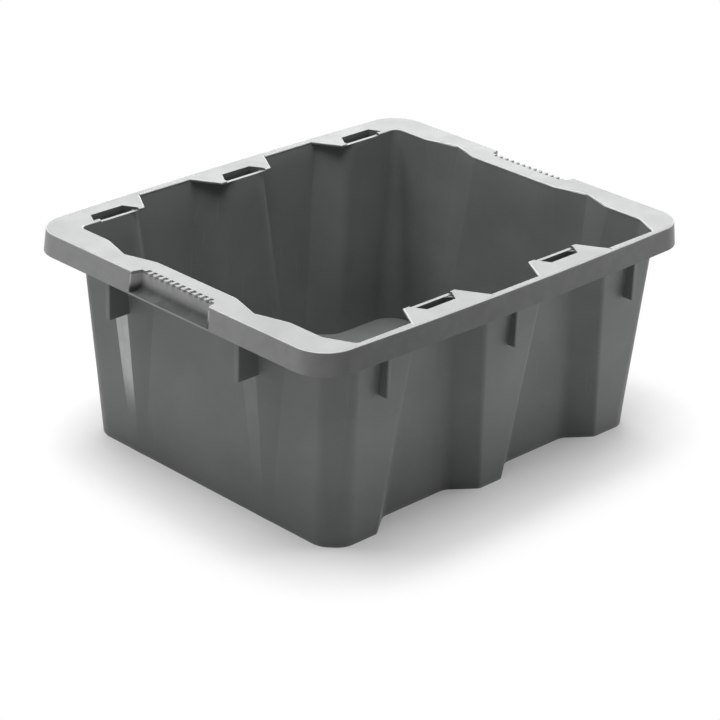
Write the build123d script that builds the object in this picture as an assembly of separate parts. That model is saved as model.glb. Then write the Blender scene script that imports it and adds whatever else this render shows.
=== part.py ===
from build123d import *
import os
from dataclasses import astuple, dataclass, replace
from math import cos, hypot, pi

# A stack-and-nest crate: one grey plastic moulding, modelled as its named regions,
# each a closed solid that meets its neighbours face to face.
# Millimetres. X runs along the crate, Y across it (the two-bay wall faces -Y), Z up from the base.

# Overall size, measured over the lower edge of the rim skirt
LENGTH = 597.0
WIDTH = 495.0
HEIGHT = 254.0

# Material thickness
WALL = 3.5
FLOOR = 3.5
FLANGE = 3.5
SKIRT = 3.2

# Rim: a flat flange with a skirt that hangs from its outer edge and leans outward
SKIRT_HEIGHT = 27.0
SKIRT_FLARE = 2.8
RIM_CORNER_RADIUS = 40.0
RIM_CROWN = 6.2
RIM_OUTER_ROUND = 1.5
RIM_INNER_ROUND = 2.2

# Bays: wall sections set inward, two on the front wall, one in the middle of the back wall
# and one at each back corner; the columns between them stay proud
BAY_PITCH = 100.0


@dataclass
class Level:
    """Plan of the wall's outer face at one height; distances are from the crate's centre."""

    z: float
    end: float                # end wall
    corner_column: float      # front columns beside the corners
    middle_column: float      # front column in the middle
    back_column: float        # the two back columns
    bay: float                # bay panels
    mouth: float              # half width of a bay at the column faces
    depth_half: float         # half width of a bay at its panel
    ridge: float              # height of the end wall ridges
    ridge_half: float         # half width of the end wall ridges
    cut_x: float              # slanted face of a front corner, along the front wall
    cut_y: float              # and along the end wall
    cut_front_round: float    # round between the slanted face and the front wall
    cut_end_round: float      # round between the slanted face and the end wall
    back_round: float         # round of a back corner


BASE = Level(
    z=0.0,
    end=250.4,
    corner_column=216.1,
    middle_column=216.9,
    back_column=217.3,
    bay=192.1,
    mouth=82.0,
    depth_half=49.4,
    ridge=0.3,
    ridge_half=15.0,
    cut_x=20.4,
    cut_y=20.4,
    cut_front_round=26.0,
    cut_end_round=26.0,
    back_round=34.0,
)
TOP = Level(
    z=HEIGHT,
    end=259.8,
    corner_column=236.5,
    middle_column=239.7,
    back_column=238.0,
    bay=204.5,
    mouth=52.0,
    depth_half=23.0,
    ridge=13.1,
    ridge_half=43.0,
    cut_x=18.4,
    cut_y=37.0,
    cut_front_round=9.0,
    cut_end_round=20.0,
    back_round=13.0,
)


def between(low, high, z):
    """The level at height z on the straight way from one level to another."""
    share = (z - low.z) / (high.z - low.z)
    return Level(*[a + (b - a) * share for a, b in zip(astuple(low), astuple(high))])


# The ridges grow out of the end wall above this height
RIDGE_START = 30.0
SHOULDER = replace(between(BASE, TOP, RIDGE_START), ridge=BASE.ridge, ridge_half=BASE.ridge_half)
LEVELS = (BASE, SHOULDER, TOP)

RIDGE_Y = 107.0
COLUMN_ROUND = 8.0
BAY_ROUND = 20.0
RIDGE_TIP_ROUND = 7.0
RIDGE_FOOT_ROUND = 12.0

# Stacking tabs: ledges over the bays that carry a turned crate's columns, each with a pocket in it
TAB_OUTER_HALF = 61.5
TAB_INNER_HALF = 40.0
TAB_EDGE = TOP.bay - WALL
TAB_SEAM = 3.0
CORNER_TAB_SEAM = 0.5
POCKET_DEPTH = 11.5
POCKET_WALL = 2.5
POCKET_INNER = 205.5
POCKET_OUTER = 220.5
POCKET_INNER_HALF = 31.5
POCKET_OUTER_HALF = 22.0
LIP_DROP = 2.5
CORNER_POCKET_FAR_INNER = 233.0
CORNER_POCKET_FAR_OUTER = 225.0

# Gussets: upright plates between wall and skirt
GUSSET_BOTTOM = 181.0
END_GUSSET_THICKNESS = 7.0
SIDE_GUSSET_THICKNESS = 5.0
GUSSET_ROUND = 1.5
GUSSET_SETBACK = 4.0
FRONT_GUSSETS_X = (-2 * BAY_PITCH, 0.0, 2 * BAY_PITCH)
BACK_GUSSETS_X = (-BAY_PITCH, BAY_PITCH)

# Handles: the middle of each end rim is set in and scooped for the fingers
HANDLE_HALF = 66.0
HANDLE_INSET = 12.0
SCOOP_INNER_HALF = 60.0
SCOOP_OUTER_HALF = 63.5
SCOOP_ROUND = 10.5
GRIP_WALL = 4.5
HANDLE_LIP = 2.5
TEETH = 11
TOOTH_PITCH = 9.3
TOOTH_WIDTH = 4.6
TOOTH_HEIGHT = 1.5
TOOTH_REACH = 2.5
TEETH_RECESS = 5.5
TOOTH_ROUND = 1.9
TOOTH_TOP_ROUND = 0.8

# Where the moulding is divided: rounded corners from flat walls, and rim corners from rim rails
CORNER_X = 208.0
CORNER_SEAM = 13.0
RIM_CORNER_X = 216.0
RIM_CORNER_Y = 160.0
BAY_SEAM = 5.0
SIDE_START = 100.0
FAR = 400.0

# How far a cutting shape passes the surface it cuts
OVERCUT = 1.0

FLANGE_UNDERSIDE = HEIGHT - FLANGE
SKIRT_BOTTOM = HEIGHT - SKIRT_HEIGHT
TAB_RANGE = (FLANGE_UNDERSIDE, HEIGHT)
POCKET_RANGE = (HEIGHT - POCKET_DEPTH, HEIGHT + OVERCUT)
CUP_RANGE = (HEIGHT - POCKET_DEPTH - POCKET_WALL, FLANGE_UNDERSIDE)
TAB_ROOT = TOP.middle_column - WALL
TAB_BACK = TAB_ROOT + TAB_SEAM
CORNER_TAB_BACK = TAB_ROOT + CORNER_TAB_SEAM
CORNER_TAB_FOOT = TAB_EDGE - TOP.back_round
INNER_END = TOP.end - WALL
RIM_HALF_LENGTH = LENGTH / 2 - SKIRT_FLARE
RIM_HALF_WIDTH = WIDTH / 2 - SKIRT_FLARE
GRIP_X = RIM_HALF_LENGTH - HANDLE_INSET


def mirrored_outline(right_half):
    """Closes a half outline, listed from front to back on the +X side, with its mirror image."""
    return right_half + [(-x, y, r) for x, y, r in reversed(right_half)]


def end_ridges(level):
    """The two ridges of the +X end wall, from front to back."""
    points = []
    for centre in (-RIDGE_Y, RIDGE_Y):
        points.append((level.end, centre - level.ridge_half, RIDGE_FOOT_ROUND))
        points.append((level.end + level.ridge, centre, RIDGE_TIP_ROUND))
        points.append((level.end, centre + level.ridge_half, RIDGE_FOOT_ROUND))
    return points


def front_corner(level):
    """The slanted front corner on the +X side."""
    return [
        (level.end - level.cut_x, -level.corner_column, level.cut_front_round),
        (level.end, -level.corner_column + level.cut_y, level.cut_end_round),
    ]


def wall_outline(level):
    """Plan of the wall's outer face, with every bay, as (x, y, corner radius)."""
    right_half = [
        (BAY_PITCH - level.mouth, -level.middle_column, COLUMN_ROUND),
        (BAY_PITCH - level.depth_half, -level.bay, BAY_ROUND),
        (BAY_PITCH + level.depth_half, -level.bay, BAY_ROUND),
        (BAY_PITCH + level.mouth, -level.corner_column, COLUMN_ROUND),
        *front_corner(level),
        *end_ridges(level),
        (level.end, level.bay, level.back_round),
        (2 * BAY_PITCH - level.depth_half, level.bay, BAY_ROUND),
        (2 * BAY_PITCH - level.mouth, level.back_column, COLUMN_ROUND),
        (level.mouth, level.back_column, COLUMN_ROUND),
        (level.depth_half, level.bay, BAY_ROUND),
    ]
    return mirrored_outline(right_half)


def column_outline(level):
    """Plan of the wall's outer face with the bays bridged over, column to column."""
    right_half = [
        (BAY_PITCH - level.mouth, -level.middle_column, COLUMN_ROUND),
        (BAY_PITCH + level.mouth, -level.corner_column, COLUMN_ROUND),
        *front_corner(level),
        *end_ridges(level),
        (level.end, level.back_column, level.back_round),
    ]
    return mirrored_outline(right_half)


def inset(outline, distance):
    """Moves every side of an anticlockwise outline inward and keeps its round corners concentric."""
    count = len(outline)
    lines = []
    for (x0, y0, _), (x1, y1, _) in zip(outline, outline[1:] + outline[:1]):
        length = hypot(x1 - x0, y1 - y0)
        along = ((x1 - x0) / length, (y1 - y0) / length)
        start = (x0 - along[1] * distance, y0 + along[0] * distance)
        lines.append((start, along))
    moved = []
    for i in range(count):
        (ax, ay), (ux, uy) = lines[i - 1]
        (bx, by), (vx, vy) = lines[i]
        turn = ux * vy - uy * vx
        reach = ((bx - ax) * vy - (by - ay) * vx) / turn
        radius = outline[i][2] - distance if turn > 0 else outline[i][2] + distance
        moved.append((ax + ux * reach, ay + uy * reach, radius))
    return moved


def outline_face(outline, z):
    """A flat face at height z inside an outline of rounded corners."""
    points = [(x, y, z) for x, y, _ in outline]
    radii = [r for _, _, r in outline]
    return make_face(FilletPolyline(*points, radius=radii, close=True).edges())


def tapered_solid(outline_at, thickness):
    """The drafted solid inside the wall outlines, set in from the outer face by a thickness."""
    faces = []
    for level in LEVELS:
        outline = outline_at(level)
        if thickness:
            outline = inset(outline, thickness)
        faces.append(outline_face(outline, level.z))
    return loft(faces, ruled=True)


def block(x_range, y_range, z_range):
    """An upright box between the given limits."""
    size = [high - low for low, high in (x_range, y_range, z_range)]
    corner = (x_range[0], y_range[0], z_range[0])
    return Pos(*corner) * Box(*size, align=(Align.MIN, Align.MIN, Align.MIN))


def leaning_block(axis, lower, upper, across):
    """A box over the full height whose two limits along one axis move evenly from base to rim."""
    faces = []
    for (low, high), z in ((lower, 0), (upper, HEIGHT)):
        if axis == "x":
            corners = [(low, across[0]), (high, across[0]), (high, across[1]), (low, across[1])]
        else:
            corners = [(across[0], low), (across[1], low), (across[1], high), (across[0], high)]
        faces.append(make_face(Polyline(*[(x, y, z) for x, y in corners], close=True).edges()))
    return loft(faces, ruled=True)


def prism(points, z_range):
    """An upright prism over a plan polygon."""
    face = make_face(Polyline(*[(x, y, z_range[0]) for x, y in points], close=True).edges())
    return extrude(face, amount=z_range[1] - z_range[0], dir=(0, 0, 1))


def rim_face(grow, z):
    """The rim's outer outline at height z: straight ends, long sides bowed out by the crown."""
    half_length = RIM_HALF_LENGTH + grow
    half_width = RIM_HALF_WIDTH + grow
    radius = RIM_CORNER_RADIUS + grow
    x = half_length - radius
    y = half_width - RIM_CROWN * (x / half_length) ** 2
    turn = y - radius
    edges = [
        ThreePointArc((-x, -y, z), (0, -half_width, z), (x, -y, z)),
        CenterArc((x, -turn, z), radius, 270, 90),
        Line((half_length, -turn, z), (half_length, turn, z)),
        CenterArc((x, turn, z), radius, 0, 90),
        ThreePointArc((x, y, z), (0, half_width, z), (-x, y, z)),
        CenterArc((-x, turn, z), radius, 90, 90),
        Line((-half_length, turn, z), (-half_length, -turn, z)),
        CenterArc((-x, -turn, z), radius, 180, 90),
    ]
    return make_face([edge.edge() for edge in edges])


def flare_at(z):
    """How far the skirt's outer face stands outside the rim's top edge at height z."""
    return SKIRT_FLARE * (HEIGHT - z) / SKIRT_HEIGHT


def make_skirt():
    """The whole skirt as one ring below the flange."""
    rings = []
    for thickness in (0, SKIRT):
        low = rim_face(flare_at(SKIRT_BOTTOM) - thickness, SKIRT_BOTTOM)
        high = rim_face(flare_at(FLANGE_UNDERSIDE) - thickness, FLANGE_UNDERSIDE)
        rings.append(loft([low, high], ruled=True))
    return rings[0] - rings[1]


def make_flange(cavity):
    """The whole flange as one plate, open over the crate and set in at both handles."""
    plate = loft([rim_face(flare_at(FLANGE_UNDERSIDE), FLANGE_UNDERSIDE), rim_face(0, HEIGHT)], ruled=True)
    plate = fillet(plate.edges().group_by(Axis.Z)[-1], RIM_OUTER_ROUND)
    plate = plate - cavity
    inner_edges = [
        edge
        for edge in plate.edges().group_by(Axis.Z)[-1]
        if abs(edge.center().X) < TOP.end + TOP.ridge and abs(edge.center().Y) < TOP.middle_column
    ]
    plate = fillet(inner_edges, RIM_INNER_ROUND)
    for cut in (handle_notch(), teeth_recess()):
        plate = plate - cut - mirror(cut, about=Plane.YZ)
    return plate


def handle_notch():
    """The plan of the scoop in the +X end rim, over the full rim height and beyond."""
    outer = GRIP_X + HANDLE_INSET
    slope = (SCOOP_OUTER_HALF - SCOOP_INNER_HALF) / HANDLE_INSET
    far = outer + HANDLE_INSET
    far_half = SCOOP_INNER_HALF + slope * (far - GRIP_X)
    points = [(GRIP_X, -SCOOP_INNER_HALF), (far, -far_half), (far, far_half), (GRIP_X, SCOOP_INNER_HALF)]
    return prism(points, (SKIRT_BOTTOM - OVERCUT, HEIGHT + OVERCUT))


def teeth_recess():
    """The recess along the +X handle's top edge that the grip teeth stand in."""
    half = ((TEETH + 1) * TOOTH_PITCH - TOOTH_WIDTH) / 2
    depth = (HEIGHT - TOOTH_HEIGHT, HEIGHT + OVERCUT)
    return block((GRIP_X - TEETH_RECESS, GRIP_X + OVERCUT), (-half, half), depth)


def make_handle():
    """The +X handle: the set-in grip wall with its scooped face, cheeks and lower lip."""
    back = GRIP_X - GRIP_WALL
    body_profile = Polyline(
        (back, 0, SKIRT_BOTTOM),
        (RIM_HALF_LENGTH + flare_at(SKIRT_BOTTOM), 0, SKIRT_BOTTOM),
        (RIM_HALF_LENGTH + flare_at(FLANGE_UNDERSIDE), 0, FLANGE_UNDERSIDE),
        (back, 0, FLANGE_UNDERSIDE),
        close=True,
    )
    body = extrude(make_face(body_profile.edges()), amount=HANDLE_HALF, dir=(0, 1, 0), both=True)
    lip_top = SKIRT_BOTTOM + HANDLE_LIP
    bend = SCOOP_ROUND * (1 - cos(pi / 4))
    scoop_profile = [
        Line((GRIP_X, 0, FLANGE_UNDERSIDE), (GRIP_X, 0, lip_top + SCOOP_ROUND)),
        ThreePointArc(
            (GRIP_X, 0, lip_top + SCOOP_ROUND),
            (GRIP_X + bend, 0, lip_top + bend),
            (GRIP_X + SCOOP_ROUND, 0, lip_top),
        ),
        Line((GRIP_X + SCOOP_ROUND, 0, lip_top), (FAR, 0, lip_top)),
        Line((FAR, 0, lip_top), (FAR, 0, FLANGE_UNDERSIDE)),
        Line((FAR, 0, FLANGE_UNDERSIDE), (GRIP_X, 0, FLANGE_UNDERSIDE)),
    ]
    scoop_face = make_face([edge.edge() for edge in scoop_profile])
    scoop = extrude(scoop_face, amount=HANDLE_HALF, dir=(0, 1, 0), both=True)
    return body - (scoop & handle_notch())


def make_grip_teeth():
    """The row of small teeth along the top edge of the +X handle."""
    teeth = []
    for index in range(TEETH):
        y = (index - (TEETH - 1) / 2) * TOOTH_PITCH
        across = (y - TOOTH_WIDTH / 2, y + TOOTH_WIDTH / 2)
        tooth = block((GRIP_X - TEETH_RECESS, GRIP_X + TOOTH_REACH), across, (FLANGE_UNDERSIDE, HEIGHT))
        tooth = fillet(tooth.edges().filter_by(Axis.Z).group_by(Axis.X)[-1], TOOTH_ROUND)
        top_edges = tooth.edges().group_by(Axis.Z)[-1].sort_by(Axis.X)[1:]
        tooth = fillet(top_edges, TOOTH_TOP_ROUND)
        under = block((GRIP_X - TEETH_RECESS, GRIP_X), across, (FLANGE_UNDERSIDE, HEIGHT - TOOTH_HEIGHT))
        teeth.append(tooth - under)
    return Compound(children=teeth)


def tab_plate(centre, side):
    """The plate of a tab over a whole bay; side is -1 on the front wall and +1 on the back."""
    plan = [
        (centre - TAB_OUTER_HALF, side * TAB_BACK),
        (centre - TAB_OUTER_HALF, side * TAB_ROOT),
        (centre - TAB_INNER_HALF, side * TAB_EDGE),
        (centre + TAB_INNER_HALF, side * TAB_EDGE),
        (centre + TAB_OUTER_HALF, side * TAB_ROOT),
        (centre + TAB_OUTER_HALF, side * TAB_BACK),
    ]
    return prism(plan, TAB_RANGE)


def corner_tab_plate():
    """The plate of the tab in the back corner on the +X side, which runs on to the end wall."""
    start = 2 * BAY_PITCH
    plan = [
        (start - TAB_OUTER_HALF, CORNER_TAB_BACK),
        (start - TAB_OUTER_HALF, TAB_ROOT),
        (start - TAB_INNER_HALF, TAB_EDGE),
        (INNER_END, TAB_EDGE),
        (INNER_END, CORNER_TAB_FOOT),
        (INNER_END + TAB_SEAM, CORNER_TAB_FOOT),
        (INNER_END + TAB_SEAM, CORNER_TAB_BACK),
    ]
    plate = prism(plan, TAB_RANGE)
    inner_corner = plate.edges().filter_by(Axis.Z).sort_by_distance((INNER_END, TAB_EDGE, HEIGHT))[0]
    return fillet([inner_corner], TOP.back_round - WALL)


def corner_tab_room():
    """The part of the rim opening beside the tab in the back corner on the +X side."""
    return block((2 * BAY_PITCH, INNER_END + TAB_SEAM), (CORNER_TAB_FOOT, CORNER_TAB_BACK), TAB_RANGE)


def pocket_plan(centre, side, wall):
    """The plan of a pocket over a whole bay, grown all round by a wall thickness."""
    inner_half = POCKET_INNER_HALF + wall
    outer_half = POCKET_OUTER_HALF + wall
    return [
        (centre - inner_half, side * (POCKET_INNER - wall)),
        (centre + inner_half, side * (POCKET_INNER - wall)),
        (centre + outer_half, side * (POCKET_OUTER + wall)),
        (centre - outer_half, side * (POCKET_OUTER + wall)),
    ]


def corner_pocket_plan(wall):
    """The plan of the longer pocket in the back corner on the +X side, grown by a wall thickness."""
    start = 2 * BAY_PITCH
    return [
        (start - POCKET_INNER_HALF - wall, POCKET_INNER - wall),
        (CORNER_POCKET_FAR_INNER + wall, POCKET_INNER - wall),
        (CORNER_POCKET_FAR_OUTER + wall, POCKET_OUTER + wall),
        (start - POCKET_OUTER_HALF - wall, POCKET_OUTER + wall),
    ]


def lip_cut(x_range, side):
    """What is taken off a tab between its inner edge and its pocket."""
    across = sorted((side * (TAB_EDGE - OVERCUT), side * POCKET_INNER))
    return block(x_range, across, (HEIGHT - LIP_DROP, HEIGHT + OVERCUT))


def finish_tab(plate, outer, pocket, cup_plan, lip):
    """A tab: its plate with rounded free edges, the pocket in a cup below it, and the lowered lip."""
    free_edges = [
        edge
        for edge in plate.edges().group_by(Axis.Z)[-1]
        if abs(edge.center().X) < INNER_END + OVERCUT / 2 and abs(edge.center().Y) < TAB_ROOT
    ]
    cup = prism(cup_plan, CUP_RANGE) - outer
    return fillet(free_edges, RIM_INNER_ROUND) + cup - prism(pocket, POCKET_RANGE) - lip


def make_tab(plate, outer, centre, side):
    """The tab over a whole bay."""
    lip = lip_cut((centre - POCKET_INNER_HALF, centre + POCKET_INNER_HALF), side)
    return finish_tab(plate, outer, pocket_plan(centre, side, 0), pocket_plan(centre, side, POCKET_WALL), lip)


def make_corner_tab(plate, outer):
    """The tab in the back corner on the +X side."""
    lip = lip_cut((2 * BAY_PITCH - POCKET_INNER_HALF, CORNER_POCKET_FAR_OUTER), 1)
    return finish_tab(plate, outer, corner_pocket_plan(0), corner_pocket_plan(POCKET_WALL), lip)


def make_end_gussets(outer, skirt):
    """The two plates of the +X end, standing on the ridges."""
    half = END_GUSSET_THICKNESS / 2
    reach = LENGTH / 2 - GUSSET_SETBACK
    plates = []
    for y in (-RIDGE_Y, RIDGE_Y):
        plate = block((BASE.end, reach), (y - half, y + half), (GUSSET_BOTTOM, FLANGE_UNDERSIDE))
        plate = fillet(plate.edges().filter_by(Axis.Z).group_by(Axis.X)[-1], GUSSET_ROUND)
        plates.append((plate - outer - skirt).solids().sort_by(SortBy.VOLUME)[-1])
    return Compound(children=plates)


def make_side_gussets(positions, side, outer, skirt):
    """The plates of a long wall, one on each column."""
    half = SIDE_GUSSET_THICKNESS / 2
    reach = WIDTH / 2 - GUSSET_SETBACK
    across = sorted((side * BASE.corner_column, side * reach))
    plates = []
    for x in positions:
        plate = block((x - half, x + half), across, (GUSSET_BOTTOM, FLANGE_UNDERSIDE))
        outer_edges = plate.edges().filter_by(Axis.Z).sort_by(lambda edge: side * edge.center().Y)[-2:]
        plate = fillet(outer_edges, GUSSET_ROUND)
        plates.append((plate - outer - skirt).solids().sort_by(SortBy.VOLUME)[-1])
    return Compound(children=plates)


def front_corner_seam(level):
    """Where the front corner post begins on the end wall."""
    return level.corner_column - level.cut_y - CORNER_SEAM


def back_corner(level):
    """Where the back corner post begins on the end wall."""
    return level.bay - level.back_round - CORNER_SEAM


def divide_walls(shell):
    """Cuts the wall shell into columns, bays, end panels, ridges and corner posts."""
    front = (-FAR, -SIDE_START)
    back = (SIDE_START, FAR)
    base_mouth = BASE.mouth + BAY_SEAM
    top_mouth = TOP.mouth + BAY_SEAM

    def along_x(low_base, low_top, high_base, high_top, across):
        return shell & leaning_block("x", (low_base, high_base), (low_top, high_top), across)

    def along_y(low_base, low_top, high_base, high_top, across):
        return shell & leaning_block("y", (low_base, high_base), (low_top, high_top), across)

    first_base, first_top = BAY_PITCH - base_mouth, BAY_PITCH - top_mouth
    second_base, second_top = BAY_PITCH + base_mouth, BAY_PITCH + top_mouth
    third_base, third_top = 2 * BAY_PITCH - base_mouth, 2 * BAY_PITCH - top_mouth
    pieces = {
        "front_column_middle": along_x(-first_base, -first_top, first_base, first_top, front),
        "back_bay_middle": along_x(-base_mouth, -top_mouth, base_mouth, top_mouth, back),
    }
    right = {
        "front_bay": along_x(first_base, first_top, second_base, second_top, front),
        "front_column": along_x(second_base, second_top, CORNER_X, CORNER_X, front),
        "back_column": along_x(base_mouth, top_mouth, third_base, third_top, back),
        "back_bay": along_x(third_base, third_top, CORNER_X, CORNER_X, back),
    }
    end = (CORNER_X, FAR)
    inner_base, inner_top = RIDGE_Y - BASE.ridge_half, RIDGE_Y - TOP.ridge_half
    outer_base, outer_top = RIDGE_Y + BASE.ridge_half, RIDGE_Y + TOP.ridge_half
    right["end_panel"] = along_y(-inner_base, -inner_top, inner_base, inner_top, end)
    right["end_ridge_front"] = along_y(-outer_base, -outer_top, -inner_base, -inner_top, end)
    right["end_ridge_back"] = along_y(inner_base, inner_top, outer_base, outer_top, end)
    front_base, front_top = -front_corner_seam(BASE), -front_corner_seam(TOP)
    back_base, back_top = back_corner(BASE), back_corner(TOP)
    right["end_side_front"] = along_y(front_base, front_top, -outer_base, -outer_top, end)
    right["end_side_back"] = along_y(outer_base, outer_top, back_base, back_top, end)
    right["corner_post_front"] = along_y(-FAR, -FAR, front_base, front_top, end)
    right["corner_post_back"] = along_y(back_base, back_top, FAR, FAR, end)
    add_both_sides(pieces, right)
    return pieces


def divide_rim(flange, skirt):
    """Cuts the rim into rails, skirts and corners."""
    full = (SKIRT_BOTTOM - OVERCUT, HEIGHT + OVERCUT)
    side_x = (-RIM_CORNER_X, RIM_CORNER_X)
    pieces = {}
    for name, across in (("front", (-FAR, 0)), ("back", (0, FAR))):
        rail = block(side_x, across, full)
        pieces["rim_" + name] = flange & rail
        pieces["skirt_" + name] = skirt & rail
    end_x = (RIM_CORNER_X, FAR)
    right = {"rim_end": flange & block(end_x, (-RIM_CORNER_Y, RIM_CORNER_Y), full)}
    for name, sign in (("front", -1), ("back", 1)):
        beside_handle = sorted((sign * HANDLE_HALF, sign * RIM_CORNER_Y))
        right["skirt_end_" + name] = skirt & block(end_x, beside_handle, full)
        corner = block(end_x, sorted((sign * RIM_CORNER_Y, sign * FAR)), full)
        right["rim_corner_" + name] = (flange & corner) + (skirt & corner)
    add_both_sides(pieces, right)
    return pieces


def add_both_sides(pieces, right):
    """Names each +X piece as the right one and adds its mirror image as the left one."""
    for name, piece in right.items():
        pieces[name + "_right"] = piece
        pieces[name + "_left"] = mirror(piece, about=Plane.YZ)


def build_crate():
    """Every region of the moulding by name."""
    outer = tapered_solid(wall_outline, 0)
    interior = tapered_solid(wall_outline, WALL)
    cavity = tapered_solid(column_outline, WALL)
    everywhere = (-FAR, FAR)
    shell = (outer - interior) & block(everywhere, everywhere, (FLOOR, FLANGE_UNDERSIDE))
    skirt = make_skirt()

    flange = make_flange(cavity)
    front_plate = tab_plate(BAY_PITCH, -1)
    middle_plate = tab_plate(0, 1)
    corner_plate = corner_tab_plate()
    for room in (front_plate, middle_plate, corner_plate, corner_tab_room()):
        flange = flange - room - mirror(room, about=Plane.YZ)

    pieces = {"floor_panel": outer & block(everywhere, everywhere, (0, FLOOR))}
    pieces.update(divide_walls(shell))
    pieces.update(divide_rim(flange, skirt))
    pieces["stack_tab_back_middle"] = make_tab(middle_plate, outer, 0, 1)
    pieces["gussets_front"] = make_side_gussets(FRONT_GUSSETS_X, -1, outer, skirt)
    pieces["gussets_back"] = make_side_gussets(BACK_GUSSETS_X, 1, outer, skirt)
    add_both_sides(
        pieces,
        {
            "stack_tab_front": make_tab(front_plate, outer, BAY_PITCH, -1),
            "stack_tab_back": make_corner_tab(corner_plate, outer),
            "gussets_end": make_end_gussets(outer, skirt),
            "handle": make_handle(),
            "grip_teeth": make_grip_teeth(),
        },
    )
    return pieces


os.makedirs("parts", exist_ok=True)
for node, piece in build_crate().items():
    export_step(piece, f"parts/{node}.step")
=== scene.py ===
import math
from collections import namedtuple

import bpy
from mathutils import Matrix, Vector


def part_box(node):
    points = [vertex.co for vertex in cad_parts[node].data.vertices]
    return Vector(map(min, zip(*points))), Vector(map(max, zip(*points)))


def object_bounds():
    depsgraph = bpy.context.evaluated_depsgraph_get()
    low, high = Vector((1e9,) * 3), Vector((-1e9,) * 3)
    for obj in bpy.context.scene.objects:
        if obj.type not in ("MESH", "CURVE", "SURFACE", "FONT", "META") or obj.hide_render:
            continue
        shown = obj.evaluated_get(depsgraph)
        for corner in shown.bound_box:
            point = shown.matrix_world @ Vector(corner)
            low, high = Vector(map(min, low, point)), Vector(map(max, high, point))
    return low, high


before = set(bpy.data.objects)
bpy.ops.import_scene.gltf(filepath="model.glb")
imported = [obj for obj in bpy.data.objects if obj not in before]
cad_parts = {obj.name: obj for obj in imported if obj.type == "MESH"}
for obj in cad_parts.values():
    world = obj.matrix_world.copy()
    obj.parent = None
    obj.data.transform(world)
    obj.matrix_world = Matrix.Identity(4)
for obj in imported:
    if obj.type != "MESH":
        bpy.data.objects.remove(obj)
cad_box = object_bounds()

# Camera, solved from the crate's edges in the photograph: pixels of its square image, degrees and metres
IMAGE_SIDE = 720.0
FOCAL_PIXELS = 2660.51
AZIMUTH = -45.35
ELEVATION = 24.89
ROLL = 1.95
TARGET = Vector((0.0, 0.0, 0.120))
TARGET_PIXEL = (360.37, 328.53)
TARGET_DEPTH = 3.12651
SENSOR_MM = 36.0
UPWARD = Vector((0.0, 0.0, 1.0))

# Light, as plain radiance where 1 is a white background; lamps have places and sizes in metres
WHITE = (1.0, 1.0, 1.0, 1.0)
AMBIENT = 0.02
BACKGROUND = 1.0
LAMP_ENERGY_PER_AREA = 4.0
LAMP_TARGET = Vector((0.0, 0.0, 0.15))
SOFTBOXES = {
    "overhead_light": {"place": (0.02, 0.08, 2.4), "size": (2.2, 2.2), "radiance": 5.2},
    "high_left_light": {"place": (-0.9, 0.9, 1.95), "size": (1.0, 1.0), "radiance": 4.8},
    "high_right_light": {"place": (0.9, -0.9, 1.95), "size": (1.0, 1.0), "radiance": 0.9},
    "back_light": {"place": (1.6, 1.6, 1.3), "size": (3.2, 1.6), "radiance": 2.75},
    "low_left_light": {"place": (-2.0, 1.6, 0.3), "size": (1.4, 0.5), "radiance": 2.4},
    "low_right_light": {"place": (2.1, -1.6, 0.28), "size": (1.8, 0.5), "radiance": 4.9},
}

# Floor, in metres: the shadow is whole up to the first distance from the crate's base and gone at the second
FLOOR_SHADE = (0.6, 0.6, 0.6, 1.0)
FLOOR_GLOW = 0.12
FLOOR_HALF = 60.0
SHADOW_SPAN = (0.06, 0.15)
BASE_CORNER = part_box("floor_panel")[1]

# Colours of the plastic and its scuffs, linear, and the colours of painted light, painted highlights and
# painted shade
WALL_SHADES = ((0.112, 0.121, 0.117, 1.0), (0.136, 0.146, 0.141, 1.0))
RIM_SHADES = ((0.098, 0.105, 0.102, 1.0), (0.118, 0.127, 0.123, 1.0))
SCUFF = (0.19, 0.198, 0.193, 1.0)
# Painted light on the upright faces at the ends and on the lip under the handle
LIGHT_PAINT = (0.26, 0.265, 0.26, 1.0)
# Painted highlight on the rounded rim and tab edges and on the grip
HIGHLIGHT_PAINT = (0.36, 0.365, 0.36, 1.0)
# Painted highlight on the back flank of the end ridges
FLANK_HIGHLIGHT_PAINT = (0.42, 0.43, 0.425, 1.0)
# Painted shade at the foot, on the long sides, and in the handle scoops and pockets
SHADE_PAINT = (0.02, 0.021, 0.021, 1.0)

# Noise patterns in the plastic: patches per metre and levels of detail
MOTTLE = (11.0, 4.0)
SPECKLE = (520.0, 2.0)
SCUFF_PATCHES = (7.0, 2.0)
GLOSS_PATCHES = (34.0, 3.0)
MARK_PATCHES = (60.0, 3.0)
SWELL = (16.0, 1.0)
GRAIN = (900.0, 2.0)

# Scuff lines: a noise pattern on places stretched to these patches per metre along X, Y and Z
SCUFF_LINES = (1.0, 3.0)
UPRIGHT_STREAKS = (240.0, 240.0, 7.0)
RIM_STREAKS = (60.0, 60.0, 200.0)
FLOOR_STREAKS = (30.0, 200.0, 200.0)

# Spans of noise values that patterns run over, from none to full
MIDDLE_SPAN = (0.3, 0.7)
LINE_SPAN = (0.6, 0.78)
PATCH_SPAN = (0.45, 0.65)
MARK_SPAN = (0.3, 0.6)

# How strongly patterns show: shares, changes of roughness, and bumps with heights in metres
SPECKLE_LIMITS = (-0.12, 0.12)
MARK_LEAST = 0.8
ROUGHNESS_CHANGE = 0.03
SCUFF_DULLING = 0.12
SWELL_STRENGTH = 0.2
SWELL_HEIGHT = 0.001
GRAIN_STRENGTH = 0.15
GRAIN_HEIGHT = 0.0002

# Faces and heights of the crate, in metres: its upper corner, and the undersides of a handle and a pocket
END_FACE, SIDE_FACE, CRATE_HEIGHT = cad_box[1]
HANDLE_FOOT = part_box("handle_left")[0][2]
POCKET_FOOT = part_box("stack_tab_front_left")[0][2]
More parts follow.
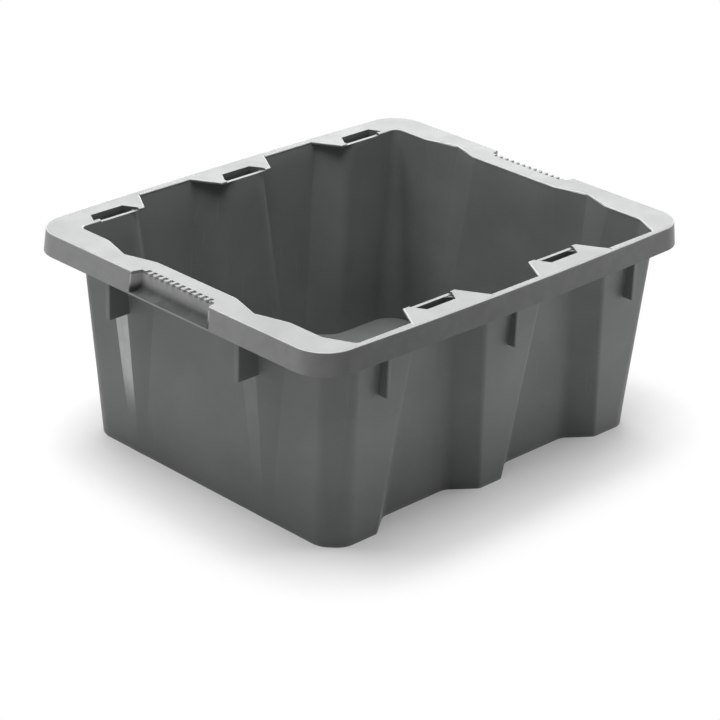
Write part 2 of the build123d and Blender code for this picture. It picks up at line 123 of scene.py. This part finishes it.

# Where the painted light and shade lie, from none to full, in metres along an axis
NEAR_END, NEAR_SIDE = [(face - 0.042, face - 0.012) for face in (END_FACE, SIDE_FACE)]
GRIP_LIGHT_SPAN = (HANDLE_FOOT + 0.003, HANDLE_FOOT + 0.02)
LIP_HIGHLIGHT_SPAN = (HANDLE_FOOT + 0.0026, HANDLE_FOOT + 0.0018)
ABOVE_LIP = (HANDLE_FOOT + 0.0018, HANDLE_FOOT + 0.0024)
SCOOP_SHADE_SPAN = (HANDLE_FOOT + 0.0145, HANDLE_FOOT + 0.0055)
POCKET_SHADE_SPAN = (POCKET_FOOT + 0.011, POCKET_FOOT + 0.004)
FLANK_HIGHLIGHT_SPAN = (CRATE_HEIGHT * 0.12, CRATE_HEIGHT * 0.4)
FOOT_SHADE_SPAN = (CRATE_HEIGHT * 0.55, CRATE_HEIGHT * 0.08)

# Which way surfaces with painted light and shade face, from none to full: parts of the normal, for OUTWARD
# its X part times X
OFF_UPRIGHT = (0.25, 0.6)
OFF_FLAT = (0.995, 0.93)
UPRIGHT = (0.7, 0.3)
TOWARDS_BACK = (0.05, 0.2)
OUTWARD = (0.0, 0.05)

# Sockets of a Mix node that mixes colours
MIX_SHARE = 0
MIX_COLOURS = (6, 7)
MIX_RESULT = 2

Surface = namedtuple("Surface", ["tree", "place", "normal"])
# A mark is painted light or painted shade: where it lies, how strong it is, its colour, and how much rougher
# it makes the plastic
Mark = namedtuple("Mark", ["where", "strength", "shade", "dulling"], defaults=[0.0])


def add(tree, kind, links=None, **settings):
    """Adds a node. Settings are node properties, or input values by socket name with spaces as underscores;
    links joins outputs of earlier nodes to inputs given by name or number."""
    node = tree.nodes.new(kind)
    for key, value in settings.items():
        label = key.replace("_", " ")
        if label in node.inputs:
            node.inputs[label].default_value = value
        else:
            setattr(node, key, value)
    for target, source in (links or {}).items():
        tree.links.new(source, node.inputs[target])
    return node


def new_material(name):
    """An empty node material and its node tree."""
    material = bpy.data.materials.new(name)
    material.use_nodes = True
    material.node_tree.nodes.clear()
    return material, material.node_tree


def spread(tree, value, span, limits=(0.0, 1.0)):
    """A value's range over a span, stretched smoothly to new limits."""
    node = add(
        tree,
        "ShaderNodeMapRange",
        {"Value": value},
        interpolation_type="SMOOTHSTEP",
        From_Min=span[0],
        From_Max=span[1],
        To_Min=limits[0],
        To_Max=limits[1],
    )
    return node.outputs[0]


def noise(tree, place, pattern):
    """A noise pattern over a place vector."""
    scale, detail = pattern
    return add(tree, "ShaderNodeTexNoise", {"Vector": place}, Scale=scale, Detail=detail).outputs[0]


def combined(tree, operation, first, second):
    """Two values put together by a Math node."""
    return add(tree, "ShaderNodeMath", {0: first, 1: second}, operation=operation).outputs[0]


def product(tree, first, second):
    """One value times another."""
    return combined(tree, "MULTIPLY", first, second)


def scaled_onto(tree, base, value, factor):
    """A base value plus another one times a factor."""
    node = add(tree, "ShaderNodeMath", {0: value, 2: base}, operation="MULTIPLY_ADD")
    node.inputs[1].default_value = factor
    return node.outputs[0]


def blend(tree, share, *colours):
    """A colour between two colours, given as values or as outputs of nodes."""
    node = add(tree, "ShaderNodeMix", data_type="RGBA")
    tree.links.new(share, node.inputs[MIX_SHARE])
    for number, colour in zip(MIX_COLOURS, colours):
        if isinstance(colour, tuple):
            node.inputs[number].default_value = colour
        else:
            tree.links.new(colour, node.inputs[number])
    return node.outputs[MIX_RESULT]


def parts_of(tree, vector):
    """The X, Y and Z parts of a vector."""
    return add(tree, "ShaderNodeSeparateXYZ", {"Vector": vector}).outputs


def make_camera():
    """The photograph's camera."""
    azimuth, elevation, roll = [math.radians(angle) for angle in (AZIMUTH, ELEVATION, ROLL)]
    back = Vector((math.sin(azimuth), -math.cos(azimuth), 0)) * math.cos(elevation)
    back.z = math.sin(elevation)
    level_right = UPWARD.cross(back).normalized()
    level_up = back.cross(level_right)
    right = level_right * math.cos(roll) + level_up * math.sin(roll)
    up = level_up * math.cos(roll) - level_right * math.sin(roll)
    across = (TARGET_PIXEL[0] - IMAGE_SIDE / 2) / FOCAL_PIXELS * TARGET_DEPTH
    down = (TARGET_PIXEL[1] - IMAGE_SIDE / 2) / FOCAL_PIXELS * TARGET_DEPTH
    place = TARGET - right * across + up * down + back * TARGET_DEPTH

    camera = bpy.data.objects.new("camera", bpy.data.cameras.new("camera"))
    bpy.context.scene.collection.objects.link(camera)
    camera.data.sensor_width = SENSOR_MM
    camera.data.lens = SENSOR_MM * FOCAL_PIXELS / IMAGE_SIDE
    turn = Matrix((right, up, back)).transposed().to_4x4()
    camera.matrix_world = Matrix.Translation(place) @ turn
    bpy.context.scene.camera = camera


def seen_directly(tree):
    """1 where the camera sees a surface straight, in a reflection or through glass, otherwise 0."""
    path = add(tree, "ShaderNodeLightPath").outputs
    straight_or_mirrored = combined(tree, "MAXIMUM", path["Is Camera Ray"], path["Is Glossy Ray"])
    return combined(tree, "MAXIMUM", straight_or_mirrored, path["Is Transmission Ray"])


def make_world():
    """Even light from all round, seen by the camera and by reflections as a white background."""
    world = bpy.data.worlds.new("studio")
    bpy.context.scene.world = world
    world.use_nodes = True
    tree = world.node_tree
    tree.nodes.clear()
    strength = add(
        tree,
        "ShaderNodeMapRange",
        {"Value": seen_directly(tree)},
        To_Min=AMBIENT,
        To_Max=BACKGROUND,
    )
    background = add(tree, "ShaderNodeBackground", {"Strength": strength.outputs[0]}, Color=WHITE)
    add(tree, "ShaderNodeOutputWorld", {"Surface": background.outputs[0]})


def softbox(name, place, size, radiance):
    """A rectangular soft light of the given radiance, aimed at the crate."""
    width, height = size
    data = bpy.data.lights.new(name, "AREA")
    data.shape = "RECTANGLE"
    data.size = width
    data.size_y = height
    data.energy = radiance * LAMP_ENERGY_PER_AREA * width * height
    light = bpy.data.objects.new(name, data)
    bpy.context.scene.collection.objects.link(light)
    light.location = place
    light.rotation_mode = "QUATERNION"
    light.rotation_quaternion = (Vector(place) - LAMP_TARGET).to_track_quat("Z", "Y")
    light.visible_camera = False


def distance_from_base(tree):
    """How far a point of the floor is from the rectangle round the crate's base, in metres."""
    place = add(tree, "ShaderNodeTexCoord").outputs["Object"]
    from_middle = add(tree, "ShaderNodeVectorMath", {0: place}, operation="ABSOLUTE")
    from_sides = add(tree, "ShaderNodeVectorMath", {0: from_middle.outputs[0]}, operation="SUBTRACT")
    from_sides.inputs[1].default_value = (BASE_CORNER[0], BASE_CORNER[1], 0.0)
    outside = add(tree, "ShaderNodeVectorMath", {0: from_sides.outputs[0]}, operation="MAXIMUM")
    return add(tree, "ShaderNodeVectorMath", {0: outside.outputs[0]}, operation="LENGTH").outputs["Value"]


def make_floor():
    """A plain pale floor that keeps the shadow round the crate and is white further out."""
    mesh = bpy.data.meshes.new("floor")
    corners = [(-1, -1), (1, -1), (1, 1), (-1, 1)]
    mesh.from_pydata([(x * FLOOR_HALF, y * FLOOR_HALF, 0) for x, y in corners], [], [(0, 1, 2, 3)])
    floor = bpy.data.objects.new("floor", mesh)
    bpy.context.scene.collection.objects.link(floor)
    material, tree = new_material("floor")
    paper = add(tree, "ShaderNodeBsdfDiffuse", Color=FLOOR_SHADE)
    direct = seen_directly(tree)
    strength = add(tree, "ShaderNodeMapRange", {"Value": direct}, To_Min=0.0, To_Max=FLOOR_GLOW)
    glow = add(tree, "ShaderNodeEmission", {"Strength": strength.outputs[0]}, Color=WHITE)
    shaded = add(tree, "ShaderNodeAddShader", {0: paper.outputs[0], 1: glow.outputs[0]})
    white = add(tree, "ShaderNodeEmission", Color=WHITE, Strength=BACKGROUND)
    far = product(tree, direct, spread(tree, distance_from_base(tree), SHADOW_SPAN))
    both = add(tree, "ShaderNodeMixShader", {0: far, 1: shaded.outputs[0], 2: white.outputs[0]})
    add(tree, "ShaderNodeOutputMaterial", {"Surface": both.outputs[0]})
    mesh.materials.append(material)


def painted_edge_highlights(surface):
    """The rounded edges between an upward face and an upright one, where a pale highlight is painted."""
    off_upright = spread(surface.tree, surface.normal["Z"], OFF_UPRIGHT)
    off_flat = spread(surface.tree, surface.normal["Z"], OFF_FLAT)
    return product(surface.tree, off_upright, off_flat)


def upright_near(surface, axis, near_face):
    """The upright faces within a few centimetres of two opposite faces of the crate."""
    outward = add(surface.tree, "ShaderNodeMath", {0: surface.place[axis]}, operation="ABSOLUTE")
    near = spread(surface.tree, outward.outputs[0], near_face)
    upright = spread(surface.tree, surface.normal["Z"], UPRIGHT)
    return product(surface.tree, near, upright)


def painted_end_light(surface):
    """The upright faces at both ends, painted paler as light falling on them."""
    return upright_near(surface, "X", NEAR_END)


def painted_side_shade(surface):
    """The upright faces of both long sides, painted darker as shade."""
    return upright_near(surface, "Y", NEAR_SIDE)


def painted_grip_light(surface):
    """The face that hands hold, painted paler as light, most towards the rim."""
    upper = spread(surface.tree, surface.place["Z"], GRIP_LIGHT_SPAN)
    return product(surface.tree, upper, painted_end_light(surface))


def painted_lip_highlight(surface):
    """The thin lip under the handle scoop, where a pale highlight is painted."""
    return spread(surface.tree, surface.place["Z"], LIP_HIGHLIGHT_SPAN)


def painted_scoop_shade(surface):
    """Painted shade in the bottom of the handle scoop, above its lip."""
    low = spread(surface.tree, surface.place["Z"], SCOOP_SHADE_SPAN)
    above_lip = spread(surface.tree, surface.place["Z"], ABOVE_LIP)
    return product(surface.tree, low, above_lip)


def painted_pocket_shade(surface):
    """Painted shade in the bottom of the stacking pockets."""
    return spread(surface.tree, surface.place["Z"], POCKET_SHADE_SPAN)


def painted_flank_highlight(surface):
    """The outer side of a ridge that faces the back, where a pale highlight is painted, strongest towards
    the rim.
    """
    facing_back = spread(surface.tree, surface.normal["Y"], TOWARDS_BACK)
    upper = spread(surface.tree, surface.place["Z"], FLANK_HIGHLIGHT_SPAN)
    outer = spread(surface.tree, product(surface.tree, surface.place["X"], surface.normal["X"]), OUTWARD)
    return product(surface.tree, outer, product(surface.tree, facing_back, upper))


def painted_foot_shade(surface):
    """The foot of the walls, painted darker towards the ground as shade."""
    return spread(surface.tree, surface.place["Z"], FOOT_SHADE_SPAN)


def moulded_plastic(name, shades, streaks, scuffing, roughness, marks):
    """Grey moulded polyethylene between two shades, scuffed in streaks, with light or shade painted on at
    its marks.
    """
    material, tree = new_material(name)
    coordinates = add(tree, "ShaderNodeTexCoord").outputs["Object"]
    normal = add(tree, "ShaderNodeNewGeometry").outputs["Normal"]
    surface = Surface(tree, parts_of(tree, coordinates), parts_of(tree, normal))

    mottle = spread(tree, noise(tree, coordinates, MOTTLE), MIDDLE_SPAN)
    speckle = spread(tree, noise(tree, coordinates, SPECKLE), MIDDLE_SPAN, SPECKLE_LIMITS)
    colour = blend(tree, combined(tree, "ADD", mottle, speckle), *shades)

    drawn_out = add(tree, "ShaderNodeMapping", {"Vector": coordinates}, Scale=streaks).outputs[0]
    lines = spread(tree, noise(tree, drawn_out, SCUFF_LINES), LINE_SPAN)
    patches = spread(tree, noise(tree, coordinates, SCUFF_PATCHES), PATCH_SPAN, (0.0, scuffing))
    scuffs = product(tree, lines, patches)
    colour = blend(tree, scuffs, colour, SCUFF)
    rough_limits = (roughness - ROUGHNESS_CHANGE, roughness + ROUGHNESS_CHANGE)
    rough = spread(tree, noise(tree, coordinates, GLOSS_PATCHES), MIDDLE_SPAN, rough_limits)
    rough = scaled_onto(tree, rough, scuffs, SCUFF_DULLING)
    for mark in marks:
        mark_limits = (mark.strength * MARK_LEAST, mark.strength)
        unevenness = spread(tree, noise(tree, coordinates, MARK_PATCHES), MARK_SPAN, mark_limits)
        share = product(tree, mark.where(surface), unevenness)
        colour = blend(tree, share, colour, mark.shade)
        rough = scaled_onto(tree, rough, share, mark.dulling)

    swell = add(
        tree,
        "ShaderNodeBump",
        {"Height": noise(tree, coordinates, SWELL)},
        Strength=SWELL_STRENGTH,
        Distance=SWELL_HEIGHT,
    )
    grain = add(
        tree,
        "ShaderNodeBump",
        {"Height": noise(tree, coordinates, GRAIN), "Normal": swell.outputs[0]},
        Strength=GRAIN_STRENGTH,
        Distance=GRAIN_HEIGHT,
    )
    shader = add(
        tree,
        "ShaderNodeBsdfPrincipled",
        {"Base Color": colour, "Roughness": rough, "Normal": grain.outputs[0]},
    )
    add(tree, "ShaderNodeOutputMaterial", {"Surface": shader.outputs[0]})
    return material


# Painted shade at the foot of the walls
FOOT_SHADE_MARK = Mark(painted_foot_shade, strength=0.22, shade=SHADE_PAINT)
# Painted highlight on the back flank of the end ridges
FLANK_HIGHLIGHT_MARK = Mark(painted_flank_highlight, strength=1.0, shade=FLANK_HIGHLIGHT_PAINT)
# Painted highlight along the rounded edges of the rim and tabs
EDGE_HIGHLIGHT_MARK = Mark(painted_edge_highlights, strength=1.0, shade=HIGHLIGHT_PAINT)
# Painted light on the upright faces at both ends
END_LIGHT_MARK = Mark(painted_end_light, strength=0.5, shade=LIGHT_PAINT)
# Painted shade on the upright faces of the long sides
SIDE_SHADE_MARK = Mark(painted_side_shade, strength=0.65, shade=SHADE_PAINT)
# Painted light on the grip face and teeth, also a little rougher there
GRIP_LIGHT_MARK = Mark(painted_grip_light, strength=1.0, shade=HIGHLIGHT_PAINT, dulling=0.1)
# Painted highlight on the lip under the handle scoop
LIP_HIGHLIGHT_MARK = Mark(painted_lip_highlight, strength=0.7, shade=LIGHT_PAINT)
# Painted shade in the bottom of the handle scoop, also rougher there
SCOOP_SHADE_MARK = Mark(painted_scoop_shade, strength=0.95, shade=SHADE_PAINT, dulling=0.45)
# Painted shade in the stacking pockets, also rougher there
POCKET_SHADE_MARK = Mark(painted_pocket_shade, strength=0.9, shade=SHADE_PAINT, dulling=0.35)

FINISHES = {
    "wall": moulded_plastic(
        "plastic_wall",
        WALL_SHADES,
        UPRIGHT_STREAKS,
        scuffing=0.35,
        roughness=0.48,
        marks=[FOOT_SHADE_MARK],
    ),
    "ridge": moulded_plastic(
        "plastic_ridge",
        WALL_SHADES,
        UPRIGHT_STREAKS,
        scuffing=0.35,
        roughness=0.48,
        marks=[FOOT_SHADE_MARK, FLANK_HIGHLIGHT_MARK],
    ),
    "rim": moulded_plastic(
        "plastic_rim",
        RIM_SHADES,
        RIM_STREAKS,
        scuffing=0.3,
        roughness=0.4,
        marks=[SIDE_SHADE_MARK, END_LIGHT_MARK, EDGE_HIGHLIGHT_MARK],
    ),
    "tab": moulded_plastic(
        "plastic_tab",
        RIM_SHADES,
        RIM_STREAKS,
        scuffing=0.3,
        roughness=0.4,
        marks=[EDGE_HIGHLIGHT_MARK, POCKET_SHADE_MARK],
    ),
    "grip": moulded_plastic(
        "plastic_grip",
        RIM_SHADES,
        RIM_STREAKS,
        scuffing=0.2,
        roughness=0.38,
        marks=[GRIP_LIGHT_MARK, LIP_HIGHLIGHT_MARK, SCOOP_SHADE_MARK],
    ),
    "floor": moulded_plastic(
        "plastic_floor",
        WALL_SHADES,
        FLOOR_STREAKS,
        scuffing=0.5,
        roughness=0.45,
        marks=[],
    ),
}

# Finish of a region by the start of its name; the others have the wall's
FINISH_OF = {
    "rim": "rim",
    "skirt": "rim",
    "grip_teeth": "grip",
    "stack_tab": "tab",
    "handle": "grip",
    "end_ridge_back": "ridge",
    "floor": "floor",
}


def dress_crate():
    """Gives every region of the crate its finish."""
    for name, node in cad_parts.items():
        finish = next((FINISH_OF[start] for start in FINISH_OF if name.startswith(start)), "wall")
        node.data.materials.clear()
        node.data.materials.append(FINISHES[finish])


dress_crate()
make_floor()
make_world()
for name, settings in SOFTBOXES.items():
    softbox(name, **settings)
make_camera()
bpy.context.scene.view_settings.view_transform = "Standard"
